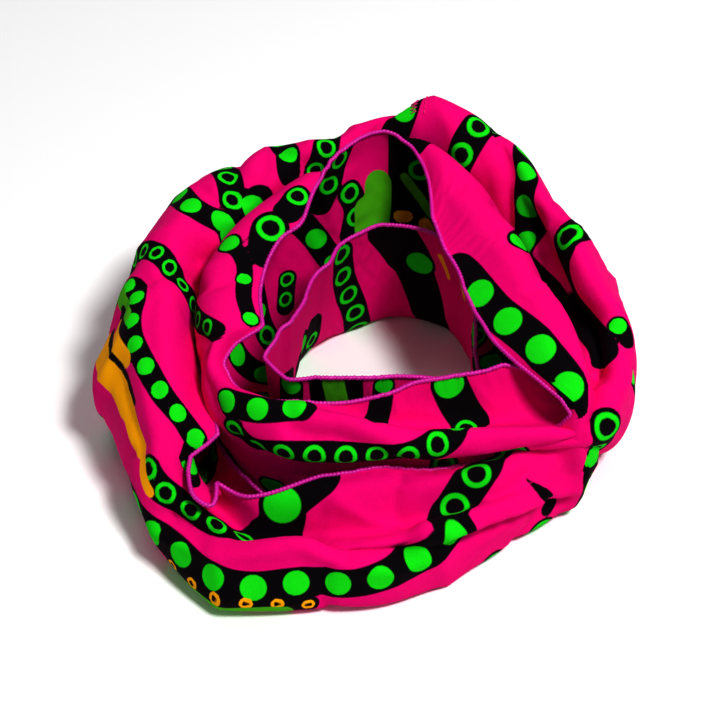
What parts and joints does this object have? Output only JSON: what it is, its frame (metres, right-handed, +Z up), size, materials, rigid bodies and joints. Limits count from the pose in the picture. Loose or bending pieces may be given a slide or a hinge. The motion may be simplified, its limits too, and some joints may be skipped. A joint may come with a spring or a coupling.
{
  "type": "neck gaiter",
  "caption": "Printed cotton loop scarf worn doubled as a neck gaiter, hot pink with black bands of green dots and rings, rolled magenta hems.",
  "frame": {"origin": "middle of the overall box, on the plane that the scarf rests on", "axes": "+Z up through the neck opening, -Y towards the low front folds, +Y towards the tall back, +X to the wearer's left when the front faces forwards"},
  "size_m": [0.3143, 0.3148, 0.1228],
  "materials": {
    "printed_cotton": "matte",
    "hem_thread": "satin",
    "seam_thread": "satin"
  },
  "bodies": {
    "root": {"printed_panel": "printed_cotton", "upper_hem_thread": "hem_thread", "lower_hem_thread": "hem_thread", "join_seam_stitches": "seam_thread", "join_seam_overlock_thread": "seam_thread"}
  },
  "joints": []
}
